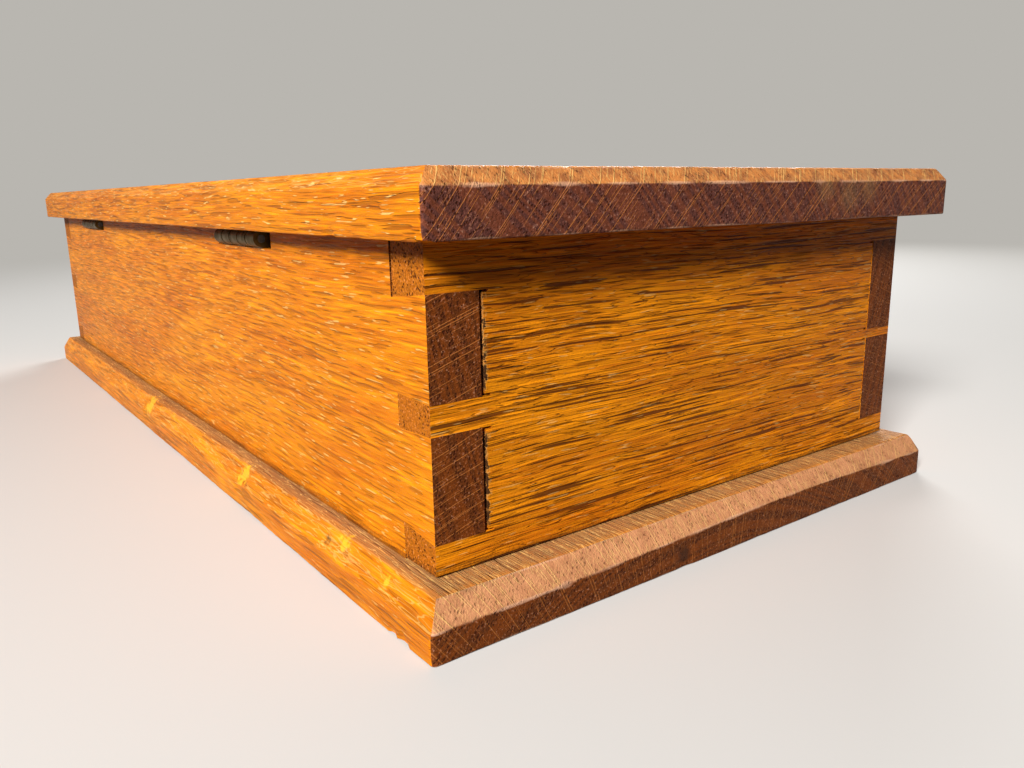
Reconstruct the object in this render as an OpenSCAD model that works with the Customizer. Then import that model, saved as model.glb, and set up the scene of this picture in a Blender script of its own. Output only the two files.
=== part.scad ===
// Stationery box in oak: a dovetailed case on a bevelled base board, under a bevelled lid on butt hinges.
// Millimetres. The origin is at the middle of the base board's underside, +X runs along the
// length and +Y points to the hinge side, which is the back.

/* [Case] */
// Outside length of the four walls
case_length = 303; // [220:1:420]
// Outside width of the four walls
case_width = 128.5; // [90:0.5:220]
// Height of the walls above the base board
wall_height = 53; // [40:0.5:100]
// Thickness of the front and back walls
long_wall = 9.5; // [8:0.1:14]
// Thickness of the two end walls
end_wall = 9.8; // [7:0.1:14]
// Dark joint line under the end walls, which do not quite reach the base board
end_wall_lift = 0.35; // [0:0.05:0.8]

/* [Dovetails] */
// Height of the bottom half pin at the two back corners
back_bottom_pin = 5.5; // [3:0.1:8]
// Height of the middle pin at the two back corners
back_middle_pin = 5; // [1.5:0.1:8]
// Height of the top half pin at the two back corners
back_top_pin = 8; // [5:0.1:10]
// How far the middle pin of the back corners sits above midway between the half pins
back_pin_rise = 0.45; // [-2:0.05:2]
// Height of the bottom half pin at the two front corners
front_bottom_pin = 5.1; // [3:0.1:8]
// Height of the middle pin at the two front corners
front_middle_pin = 2; // [1.5:0.1:8]
// Height of the top half pin at the two front corners
front_top_pin = 5.8; // [3:0.1:10]
// How far the middle pin of the front corners sits above midway between the half pins
front_pin_rise = -0.35; // [-2:0.05:2]
// Slope of the half pins, as length to one of rise
half_pin_slope = 9; // [6:0.5:14]
// Slope of the middle pins, as length to one of rise
middle_pin_slope = 26; // [10:1:40]
// Open gap at the foot of the sockets at the back corners
back_socket_gap = 0.7; // [0:0.05:1]
// Open gap at the foot of the sockets at the front corners
front_socket_gap = 0.3; // [0:0.05:1]
// Open gap beside the top half pins at the back corners
top_pin_gap = 0.6; // [0:0.05:1]
// Width of the saw kerfs that run past the foot of each socket
saw_kerf = 0.4; // [0.2:0.05:0.8]
// How far those kerfs run on
saw_overrun = 1.1; // [0.5:0.1:2]

/* [Lid] */
// Thickness of the lid board
lid_thick = 10.1; // [9:0.1:16]
// Overhang of the lid past each end wall
lid_end_overhang = 8.7; // [3:0.1:15]
// Overhang of the lid past the front and back walls
lid_side_overhang = 5.2; // [3:0.1:15]
// Width of the bevel on the lid's top edges, seen from above
lid_bevel_width = 2.4; // [1:0.1:4]
// Height of the bevel on the lid's top edges
lid_bevel_drop = 2.6; // [1:0.1:4]
// Radius of the lid's upright corners
lid_corner_radius = 0.9; // [0.5:0.1:4]

/* [Base] */
// Thickness of the base board
base_thick = 9.5; // [8:0.1:16]
// How far the base board stands out past each end wall
base_end_overhang = 8; // [3:0.1:15]
// How far the base board stands out past the front and back walls
base_side_overhang = 6; // [3:0.1:15]
// Width of the bevel on the base board's top edges, seen from above
base_bevel_width = 2.6; // [1:0.1:3]
// Height of the bevel on the base board's top edges
base_bevel_drop = 4.2; // [1:0.1:5]
// Radius of the base board's upright corners
base_corner_radius = 0.9; // [0.5:0.1:4]

/* [Hinges] */
// Distance from the left end of the case to the left hinge recess
left_recess_place = 60; // [35:0.5:65]
// Distance from the right end of the case to the right hinge recess
right_recess_place = 48; // [35:0.5:65]
// Length of each recess
recess_length = 33; // [30:0.5:40]
// Depth of each recess, which takes both closed leaves
recess_depth = 3.9; // [3.4:0.1:5]
// Length of each hinge
hinge_length = 25.4; // [20:0.1:26]
// Slack between the left end of a recess and its hinge
hinge_slack = 5; // [0.5:0.1:6]
// Thickness of a hinge leaf
leaf_thick = 1.2; // [1:0.1:1.4]
// Width of a leaf from the pin's axis
leaf_width = 7.4; // [7:0.1:7.6]
// Gap between the edge of a leaf and the inner side of its recess
leaf_gap = 0.3; // [0.2:0.05:0.4]
// Number of knuckles along a hinge
knuckles = 5; // [3:2:7]
// Gap between one knuckle and the next
knuckle_gap = 0.25; // [0.15:0.05:0.4]
// Gap between a knuckle and the recess floor, and between a knuckle and the lid
knuckle_relief = 0.2; // [0.15:0.05:0.3]
// Diameter of the hinge pin
pin_diameter = 1.6; // [1:0.1:1.8]
// Running gap between the pin and its knuckles, all round
pin_clearance = 0.05; // [0.03:0.01:0.1]

/* [Screws] */
// Shank diameter of the hinge screws
hinge_screw = 2; // [1.6:0.1:2.4]
// Head diameter of the hinge screws
hinge_screw_head = 3.8; // [3:0.1:4.2]
// Length of the hinge screws
hinge_screw_length = 7.5; // [5:0.1:9]
// Distance from each end of a leaf to its screw
hinge_screw_place = 5; // [3.5:0.1:7]
// Shank diameter of the screws that hold the base board
base_screw = 3.5; // [2.5:0.1:4]
// Head diameter of the screws that hold the base board
base_screw_head = 7; // [5:0.1:8]
// Length of the screws that hold the base board
base_screw_length = 25; // [18:0.5:32]
// Distance from each end of the case to the outer screws in the long walls
base_screw_place = 42; // [25:1:60]
// How deep those heads sit below the underside
base_screw_sink = 0.3; // [0.1:0.1:1]
// Width of the slot in a hinge screw's head
hinge_screw_slot = 0.6; // [0.4:0.05:0.9]
// Width of the slot in a base screw's head
base_screw_slot = 1; // [0.6:0.05:1.4]
// Height of the upright rim of every screw head
screw_rim = 0.25; // [0.1:0.05:0.4]
// Width of the blunt tip of every screw
screw_tip = 0.6; // [0.2:0.1:1.2]
// Gap round each screw in its hole
screw_gap = 0.05; // [0.03:0.01:0.1]

/* [Hidden] */
$fn = 48;
// Cuts run past the faces that they open by this much
past = 1;
half_length = case_length / 2;
half_width = case_width / 2;
wall_top = base_thick + wall_height;
// A corner is the heights of its bottom, middle and top pins, and the rise of the middle one
BACK = [back_bottom_pin, back_middle_pin, back_top_pin, back_pin_rise];
FRONT = [front_bottom_pin, front_middle_pin, front_top_pin, front_pin_rise];
// The hinge axis lies in the outer face of the back wall, halfway down the recess
hinge_axis_y = half_width;
hinge_axis_z = wall_top - recess_depth / 2;
knuckle_radius = recess_depth / 2 - knuckle_relief;
knuckle_length = hinge_length / knuckles;
bore_radius = pin_diameter / 2 + pin_clearance;
left_recess_x = -half_length + left_recess_place;
right_recess_x = half_length - right_recess_place - recess_length;
left_hinge_x = left_recess_x + hinge_slack;
right_hinge_x = right_recess_x + hinge_slack;
// A leaf's clear width runs from the knuckles' relief cut to its edge, and the screws stand midway
relief_cut = knuckle_radius + knuckle_gap;
hinge_screw_y = -(relief_cut + leaf_width) / 2;
// Countersunk heads taper at about 45 degrees
hinge_head_height = (hinge_screw_head - hinge_screw) / 2;
base_head_height = (base_screw_head - base_screw) / 2;
// Middles of the walls' thickness, where the base screws go up
long_wall_middle = half_width - long_wall / 2;
end_wall_middle = half_length - end_wall / 2;
base_screw_x = half_length - base_screw_place;

// Boards with bevelled top edges

module rounded_rectangle(length, width, radius) {
    square([length - 2 * radius, width], center = true);
    square([length, width - 2 * radius], center = true);
    for (x = [-1, 1], y = [-1, 1])
        translate([x * (length / 2 - radius), y * (width / 2 - radius)])
            circle(r = radius);
}

module bevelled_section(span, thick, bevel_width, bevel_drop) {
    polygon([
        [-span / 2, -past], [span / 2, -past],
        [span / 2, thick - bevel_drop], [span / 2 - bevel_width, thick],
        [-span / 2 + bevel_width, thick], [-span / 2, thick - bevel_drop]
    ]);
}

module bevelled_board(length, width, thick, bevel_width, bevel_drop, radius) {
    intersection() {
        linear_extrude(thick)
            rounded_rectangle(length, width, radius);
        rotate([90, 0, 0])
            linear_extrude(width + 2 * past, center = true)
                bevelled_section(length, thick, bevel_width, bevel_drop);
        rotate([90, 0, 90])
            linear_extrude(length + 2 * past, center = true)
                bevelled_section(width, thick, bevel_width, bevel_drop);
    }
}

// Dovetails. A corner's outlines are drawn with the first coordinate running in from the end of the case,
// 0 to end_wall, and the second coordinate up from the base board. The pins widen as they run in.

function middle_pin_height(corner) = (corner[0] + wall_height - corner[2]) / 2 + corner[3];
function bottom_pin_top(corner, run) = corner[0] + run / half_pin_slope;
function middle_pin_bottom(corner, run) = middle_pin_height(corner) - corner[1] / 2 - run / middle_pin_slope;
function middle_pin_top(corner, run) = middle_pin_height(corner) + corner[1] / 2 + run / middle_pin_slope;
function top_pin_bottom(corner, run) = wall_height - corner[2] - run / half_pin_slope;

module bottom_pin_outline(corner, run_to) {
    polygon([
        [-past, -past], [run_to, -past],
        [run_to, bottom_pin_top(corner, run_to)], [-past, bottom_pin_top(corner, -past)]
    ]);
}

module middle_pin_outline(corner, run_to) {
    polygon([
        [-past, middle_pin_bottom(corner, -past)], [run_to, middle_pin_bottom(corner, run_to)],
        [run_to, middle_pin_top(corner, run_to)], [-past, middle_pin_top(corner, -past)]
    ]);
}

module top_pin_outline(corner, run_to) {
    polygon([
        [-past, top_pin_bottom(corner, -past)], [run_to, top_pin_bottom(corner, run_to)],
        [run_to, wall_height + past], [-past, wall_height + past]
    ]);
}

// The space between two pins, which a tail fills
module lower_tail_outline(corner) {
    run = end_wall + past;
    polygon([
        [-past, bottom_pin_top(corner, -past)], [run, bottom_pin_top(corner, run)],
        [run, middle_pin_bottom(corner, run)], [-past, middle_pin_bottom(corner, -past)]
    ]);
}

module upper_tail_outline(corner) {
    run = end_wall + past;
    polygon([
        [-past, middle_pin_top(corner, -past)], [run, middle_pin_top(corner, run)],
        [run, top_pin_bottom(corner, run)], [-past, top_pin_bottom(corner, -past)]
    ]);
}

// The saw kerfs along the edges of a tail's space
module kerf_outline(low_start, low_end, up) {
    polygon([
        [-past, low_start], [end_wall + past, low_end],
        [end_wall + past, low_end + up * saw_kerf], [-past, low_start + up * saw_kerf]
    ]);
}

module kerf_outlines(corner) {
    run = end_wall + past;
    kerf_outline(bottom_pin_top(corner, -past), bottom_pin_top(corner, run), 1);
    kerf_outline(middle_pin_bottom(corner, -past), middle_pin_bottom(corner, run), -1);
    kerf_outline(middle_pin_top(corner, -past), middle_pin_top(corner, run), 1);
    kerf_outline(top_pin_bottom(corner, -past), top_pin_bottom(corner, run), -1);
}

// Stands an outline up at the left end of the case, from y_low to y_high
module stand(y_low, y_high) {
    translate([-half_length, y_high, base_thick])
        rotate([90, 0, 0])
            linear_extrude(y_high - y_low)
                children();
}

// Pin spaces cut in the left end of a long wall
module pin_spaces(corner, y_low, y_high, top_gap) {
    stand(y_low, y_high) {
        bottom_pin_outline(corner, end_wall);
        middle_pin_outline(corner, end_wall);
        top_pin_outline(corner, end_wall + top_gap);
    }
}

// Tail sockets cut in one edge of the left end wall, with the kerfs that run on past their foot
module tail_sockets(corner, side, gap) {
    foot = half_width - long_wall - gap;
    outer = half_width + past;
    stand(min(side * foot, side * outer), max(side * foot, side * outer)) {
        lower_tail_outline(corner);
        upper_tail_outline(corner);
    }
    kerf_foot = foot - saw_overrun;
    stand(min(side * kerf_foot, side * outer), max(side * kerf_foot, side * outer))
        kerf_outlines(corner);
}

module both_ends() {
    children();
    mirror([1, 0, 0])
        children();
}

// Screws point down from a head that is flush at z = 0

module countersunk_solid(shank, head, head_height, length, gap) {
    rotate_extrude()
        polygon([
            [0, 0], [head / 2 + gap, 0], [head / 2 + gap, -screw_rim],
            [shank / 2 + gap, -screw_rim - head_height], [shank / 2 + gap, -length + shank],
            [screw_tip / 2, -length], [0, -length]
        ]);
}

// The slot goes halfway down the head
module wood_screw(shank, head, head_height, length, slot) {
    difference() {
        countersunk_solid(shank, head, head_height, length, 0);
        cube([head + past, slot, head_height], center = true);
    }
}

module screw_hole(shank, head, head_height, length) {
    countersunk_solid(shank, head, head_height, length + screw_gap, screw_gap);
    cylinder(h = past, r = head / 2 + screw_gap);
}

module at_base_screws(row) {
    x_places = row == "end" ? [-end_wall_middle, end_wall_middle] : [-base_screw_x, 0, base_screw_x];
    y_place = row == "front" ? -long_wall_middle : (row == "back" ? long_wall_middle : 0);
    for (x = x_places)
        translate([x, y_place, base_screw_sink])
            rotate([180, 0, 0])
                children();
}

module base_screws(row) {
    color("goldenrod")
        at_base_screws(row)
            wood_screw(base_screw, base_screw_head, base_head_height, base_screw_length, base_screw_slot);
}

module base_screw_holes(row) {
    at_base_screws(row)
        screw_hole(base_screw, base_screw_head, base_head_height, base_screw_length);
}

// Hinges. Each is drawn from its left end, with the pin's axis along X through the origin.
// The wall leaf lies below the axis and the lid leaf above it.

module at_hinge(hinge_x) {
    translate([hinge_x, hinge_axis_y, hinge_axis_z])
        children();
}

module at_hinge_screws() {
    for (x = [hinge_screw_place, hinge_length - hinge_screw_place])
        translate([x, hinge_screw_y, -recess_depth / 2 + leaf_thick])
            children();
}

module along_pin(x, length, radius) {
    translate([x, 0, 0])
        rotate([0, 90, 0])
            cylinder(h = length, r = radius);
}

// The lower leaf, with the even knuckles or the odd ones
module leaf(first_knuckle) {
    difference() {
        union() {
            translate([0, -leaf_width, -recess_depth / 2])
                cube([hinge_length, leaf_width, leaf_thick]);
            for (i = [first_knuckle : 2 : knuckles - 1])
                along_pin(i * knuckle_length, knuckle_length, knuckle_radius);
        }
        for (i = [1 - first_knuckle : 2 : knuckles - 1])
            translate([i * knuckle_length - (i == 0 ? past : knuckle_gap), -relief_cut, -recess_depth])
                cube([
                    knuckle_length + knuckle_gap + (i == 0 || i == knuckles - 1 ? past : knuckle_gap),
                    2 * relief_cut, 2 * recess_depth
                ]);
        along_pin(-past, hinge_length + 2 * past, bore_radius);
        at_hinge_screws()
            screw_hole(hinge_screw, hinge_screw_head, hinge_head_height, hinge_screw_length);
    }
}

module wall_leaf(hinge_x) {
    color("darkgoldenrod")
        at_hinge(hinge_x)
            leaf(0);
}

module lid_leaf(hinge_x) {
    color("darkgoldenrod")
        at_hinge(hinge_x)
            mirror([0, 0, 1])
                leaf(1);
}

module hinge_pin(hinge_x) {
    color("dimgray")
        at_hinge(hinge_x)
            along_pin(0, hinge_length, pin_diameter / 2);
}

// With up at 0 the screws go down into the wall, and with up at 1 they go up into the lid
module hinge_screws(hinge_x, up) {
    color("goldenrod")
        at_hinge(hinge_x)
            mirror([0, 0, up])
                at_hinge_screws()
                    wood_screw(
                        hinge_screw, hinge_screw_head, hinge_head_height,
                        hinge_screw_length, hinge_screw_slot
                    );
}

module hinge_screw_holes(hinge_x, up) {
    at_hinge(hinge_x)
        mirror([0, 0, up])
            at_hinge_screws()
                screw_hole(hinge_screw, hinge_screw_head, hinge_head_height, hinge_screw_length);
}

// The recess is open at the top and at the wall's outer face, and stops short of its inner face
module recess(recess_x) {
    depth_in = leaf_width + leaf_gap;
    translate([recess_x, half_width - depth_in, wall_top - recess_depth])
        cube([recess_length, depth_in + past, recess_depth + past]);
}

// Boards

module base_board() {
    color("peru")
        difference() {
            bevelled_board(
                case_length + 2 * base_end_overhang, case_width + 2 * base_side_overhang,
                base_thick, base_bevel_width, base_bevel_drop, base_corner_radius
            );
            for (row = ["front", "back", "end"])
                base_screw_holes(row);
        }
}

module lid_board() {
    color("peru")
        difference() {
            translate([0, 0, wall_top])
                bevelled_board(
                    case_length + 2 * lid_end_overhang, case_width + 2 * lid_side_overhang,
                    lid_thick, lid_bevel_width, lid_bevel_drop, lid_corner_radius
                );
            hinge_screw_holes(left_hinge_x, 1);
            hinge_screw_holes(right_hinge_x, 1);
        }
}

module long_board(y_low) {
    translate([-half_length, y_low, base_thick])
        cube([case_length, long_wall, wall_height]);
}

module front_wall() {
    color("chocolate")
        difference() {
            long_board(-half_width);
            both_ends()
                pin_spaces(FRONT, -half_width - past, -half_width + long_wall + past, 0);
            base_screw_holes("front");
        }
}

module back_wall() {
    color("chocolate")
        difference() {
            long_board(half_width - long_wall);
            both_ends()
                pin_spaces(BACK, half_width - long_wall - past, half_width + past, top_pin_gap);
            recess(left_recess_x);
            recess(right_recess_x);
            hinge_screw_holes(left_hinge_x, 0);
            hinge_screw_holes(right_hinge_x, 0);
            base_screw_holes("back");
        }
}

module left_end_board() {
    difference() {
        translate([-half_length, -half_width, base_thick + end_wall_lift])
            cube([end_wall, case_width, wall_height - end_wall_lift]);
        tail_sockets(BACK, 1, back_socket_gap);
        tail_sockets(FRONT, -1, front_socket_gap);
        base_screw_holes("end");
    }
}

module left_end_wall() {
    color("sienna")
        left_end_board();
}

module right_end_wall() {
    color("sienna")
        mirror([1, 0, 0])
            left_end_board();
}

base_board();
front_wall();
back_wall();
left_end_wall();
right_end_wall();
lid_board();
wall_leaf(left_hinge_x);  // left_hinge_wall_leaf
lid_leaf(left_hinge_x);  // left_hinge_lid_leaf
hinge_pin(left_hinge_x);  // left_hinge_pin
hinge_screws(left_hinge_x, 0);  // left_hinge_wall_screws
hinge_screws(left_hinge_x, 1);  // left_hinge_lid_screws
wall_leaf(right_hinge_x);  // right_hinge_wall_leaf
lid_leaf(right_hinge_x);  // right_hinge_lid_leaf
hinge_pin(right_hinge_x);  // right_hinge_pin
hinge_screws(right_hinge_x, 0);  // right_hinge_wall_screws
hinge_screws(right_hinge_x, 1);  // right_hinge_lid_screws
base_screws("front");  // front_base_screws
base_screws("back");  // back_base_screws
base_screws("end");  // end_base_screws
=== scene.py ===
import math

import bmesh
import bpy
from bpy.props import FloatProperty, FloatVectorProperty, PointerProperty
from mathutils import Matrix, Vector, noise


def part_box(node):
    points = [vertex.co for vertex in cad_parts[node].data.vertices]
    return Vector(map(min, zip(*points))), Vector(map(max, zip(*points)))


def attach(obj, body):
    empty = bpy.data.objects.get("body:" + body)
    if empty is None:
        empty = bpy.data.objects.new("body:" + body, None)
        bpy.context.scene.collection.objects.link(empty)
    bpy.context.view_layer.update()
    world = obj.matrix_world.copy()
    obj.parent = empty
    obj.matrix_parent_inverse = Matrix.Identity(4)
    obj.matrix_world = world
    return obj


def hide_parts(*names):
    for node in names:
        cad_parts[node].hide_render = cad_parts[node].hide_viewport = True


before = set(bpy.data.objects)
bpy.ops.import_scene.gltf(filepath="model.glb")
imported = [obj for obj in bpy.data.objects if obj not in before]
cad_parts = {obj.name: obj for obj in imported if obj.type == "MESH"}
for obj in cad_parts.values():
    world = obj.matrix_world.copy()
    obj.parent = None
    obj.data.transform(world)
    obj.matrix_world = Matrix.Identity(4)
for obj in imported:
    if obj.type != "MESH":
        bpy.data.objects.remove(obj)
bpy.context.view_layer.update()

bl_info = {
    "name": "Dovetailed oak stationery box",
    "version": (1, 0, 0),
    "blender": (4, 5, 0),
    "location": "3D View > Sidebar > Stationery Box",
    "description": "Finishes the boards and hinges of an oak box with hand-cut dovetails",
    "category": "Object",
}

MM = 0.001
BASE_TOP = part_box("base_board")[1].z / MM
PIN_MIDDLE = BASE_TOP + 25.7
SOCKET_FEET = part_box("back_wall")[0].y / MM - 0.7
SCREW_HEAD = 3.5
HEAD_CLEARANCE = 0.05


def linear(hex_colour):
    """Turn an sRGB hex colour such as "c07020" into linear red, green and blue."""
    channels = (int(hex_colour[i:i + 2], 16) / 255 for i in (0, 2, 4))
    return tuple(c / 12.92 if c <= 0.04045 else ((c + 0.055) / 1.055) ** 2.4 for c in channels)


def rgba(colour):
    return (*colour[:3], 1.0)


def add(tree, kind, links=(), out=0, **settings):
    """Add a node with its settings, set or link its inputs, and return one of its outputs."""
    node = tree.nodes.new("ShaderNode" + kind)
    for name, value in settings.items():
        setattr(node, name, value)
    for place, value in (links.items() if isinstance(links, dict) else enumerate(links)):
        if isinstance(value, bpy.types.NodeSocket):
            tree.links.new(value, node.inputs[place])
        else:
            node.inputs[place].default_value = value
    return node.outputs[out]


class BoxSizes(bpy.types.PropertyGroup):
    wall_arris: FloatProperty(
        name="Wall arris", description="Radius left on the walls' edges", default=0.18 * MM, unit="LENGTH")
    board_arris: FloatProperty(
        name="Board arris", description="Radius that handling has left on the lid's and base's edges",
        default=0.45 * MM, unit="LENGTH")
    ring_pitch: FloatProperty(
        name="Growth ring", description="Distance from one growth ring to the next",
        default=2.3 * MM, unit="LENGTH")
    pore_pitch: FloatProperty(
        name="Pore spacing", description="Distance from one large pore to the next across the grain",
        default=0.6 * MM, unit="LENGTH")
    ray_pitch: FloatProperty(
        name="Broad ray spacing", description="Mean distance from one broad ray to the next",
        default=2.6 * MM, unit="LENGTH")


def colour_property(name, description, hex_colour):
    return FloatVectorProperty(
        name=name, description=description, default=linear(hex_colour),
        subtype="COLOR", size=3, min=0, max=1)


class BoxColours(bpy.types.PropertyGroup):
    golden: colour_property("Golden oak", "Lighter tone of the stained oak", "ea8c0e")
    russet: colour_property("Russet oak", "Darker tone of the stained oak", "ba580b")
    pore: colour_property("Pore", "Stain and dirt held in the open pores", "4c1c06")
    # Fleck also paints highlight: partly on the pale threads along the grain, and on the rays of up-facing
    # bevels
    fleck: colour_property("Fleck", "Lifted fibres and bare wood", "f6c878")
    board_end: colour_property("Board end", "End grain of the lid and base", "5c332a")
    tail_end: colour_property("Tail end", "End grain of the long walls' tails", "62300f")
    pin_end: colour_property("Pin end", "End grain of the end walls' pins", "ac600e")
    end_ray: colour_property("Ray in end grain", "Broad rays where a board is cut across", "b96f34")
    # The bevel colours are laid where a bevel faces up: end grain rubbed pale, partly a painted highlight
    # of the light from above
    lid_bevel_rubbed_and_lit: colour_property("Lid bevel", "End grain rubbed pale on the lid's bevels", "cf8040")
    base_bevel_rubbed_and_lit: colour_property("Base bevel", "End grain rubbed pale on the base's bevels", "d08e62")
    # The rubbed arris colour is partly wear and partly a painted highlight along the edges
    rubbed_and_lit: colour_property("Rubbed arris", "Edge that handling has rubbed pale", "dfaa88")
    dust: colour_property("Dust", "Dust and old wax held along the base", "906e4c")
    # Grime also serves as painted shade in the torn gaps past the sockets' feet, and darkens the walls
    # towards their feet
    grime_and_shade: colour_property("Grime", "Dirt in the corners and spots", "3a2012")
    bare: colour_property("Bare spot", "Wood where the finish is chipped away", "fbb62e")
    # The brass is darkened partly as painted shade of the recesses the hinges sit in
    brass_and_recess_shade: colour_property("Brass", "Dull hinge brass", "65502a")
    steel: colour_property("Steel", "Dull screw steel", "77736c")
    floor: colour_property("Floor", "Studio floor as the camera sees it", "d8d5d0")
    bounce: colour_property("Floor bounce", "Floor as it lights the box", "403c38")
    backdrop: colour_property("Backdrop", "Backdrop as the camera sees it", "b9b6b0")


def sizes():
    return bpy.context.scene.box_sizes


def colours():
    return bpy.context.scene.box_colours


# How each board was sawn. The pith is the middle of the tree in the board's cross-section, in
# millimetres from the board's middle: rings run round it and rays run out from it.
# Tone is how dark the stain took, pores and lifted are how much pores and pale lifted fibres show
# along the grain, the fibres' pale being partly a painted highlight, strand is the length and width
# of a pore line, and wander is how far the grain strays.
# End names the end grain's colour and how strongly rays show in it. Rubbed names the colour of end
# grain on a bevel where it faces up, rubbed pale and partly a painted highlight of the light from
# above, and how pale its least rubbed patches are. Torn is where the chisel tore a wall past the feet
# of its sockets, its gaps painted dark as painted shade. Lengths in millimetres.

BOARDS = {
    "base_board": dict(
        along="x", pith=(6, -82), seed=3, tone=0.3, pores=0.4, strand=(16, 0.8), lifted_and_highlit=0.5,
        wander=2.5, end=("tail_end", 0.55), rubbed_and_lit=("base_bevel_rubbed_and_lit", 0.65)),
    "lid_board": dict(
        along="x", pith=(260, -234), seed=11, tone=0.3, pores=0.45, strand=(12, 0.8), lifted_and_highlit=0.9,
        wander=2.5, end=("board_end", 0.75), rubbed_and_lit=("lid_bevel_rubbed_and_lit", 0.35)),
    "back_wall": dict(
        along="x", pith=(400, -130), seed=23, tone=0.3, pores=0.35, strand=(9, 0.6), lifted_and_highlit=0.7,
        wander=3.0, end=("tail_end", 0.7)),
    "front_wall": dict(
        along="x", pith=(-300, -100), seed=37, tone=0.4, pores=0.5, strand=(12, 0.7), lifted_and_highlit=0.7,
        wander=3.0, end=("tail_end", 0.35)),
    "left_end_wall": dict(
        along="y", pith=(120, -70), seed=41, tone=0.25, pores=1.0, strand=(34, 0.5), lifted_and_highlit=0.4,
        wander=2.6, end=("pin_end", 0.15), torn=SOCKET_FEET),
    "right_end_wall": dict(
        along="y", pith=(-120, -60), seed=59, tone=0.25, pores=0.9, strand=(34, 0.5), lifted_and_highlit=0.4,
        wander=2.6, end=("pin_end", 0.15), torn=SOCKET_FEET),
}


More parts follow.
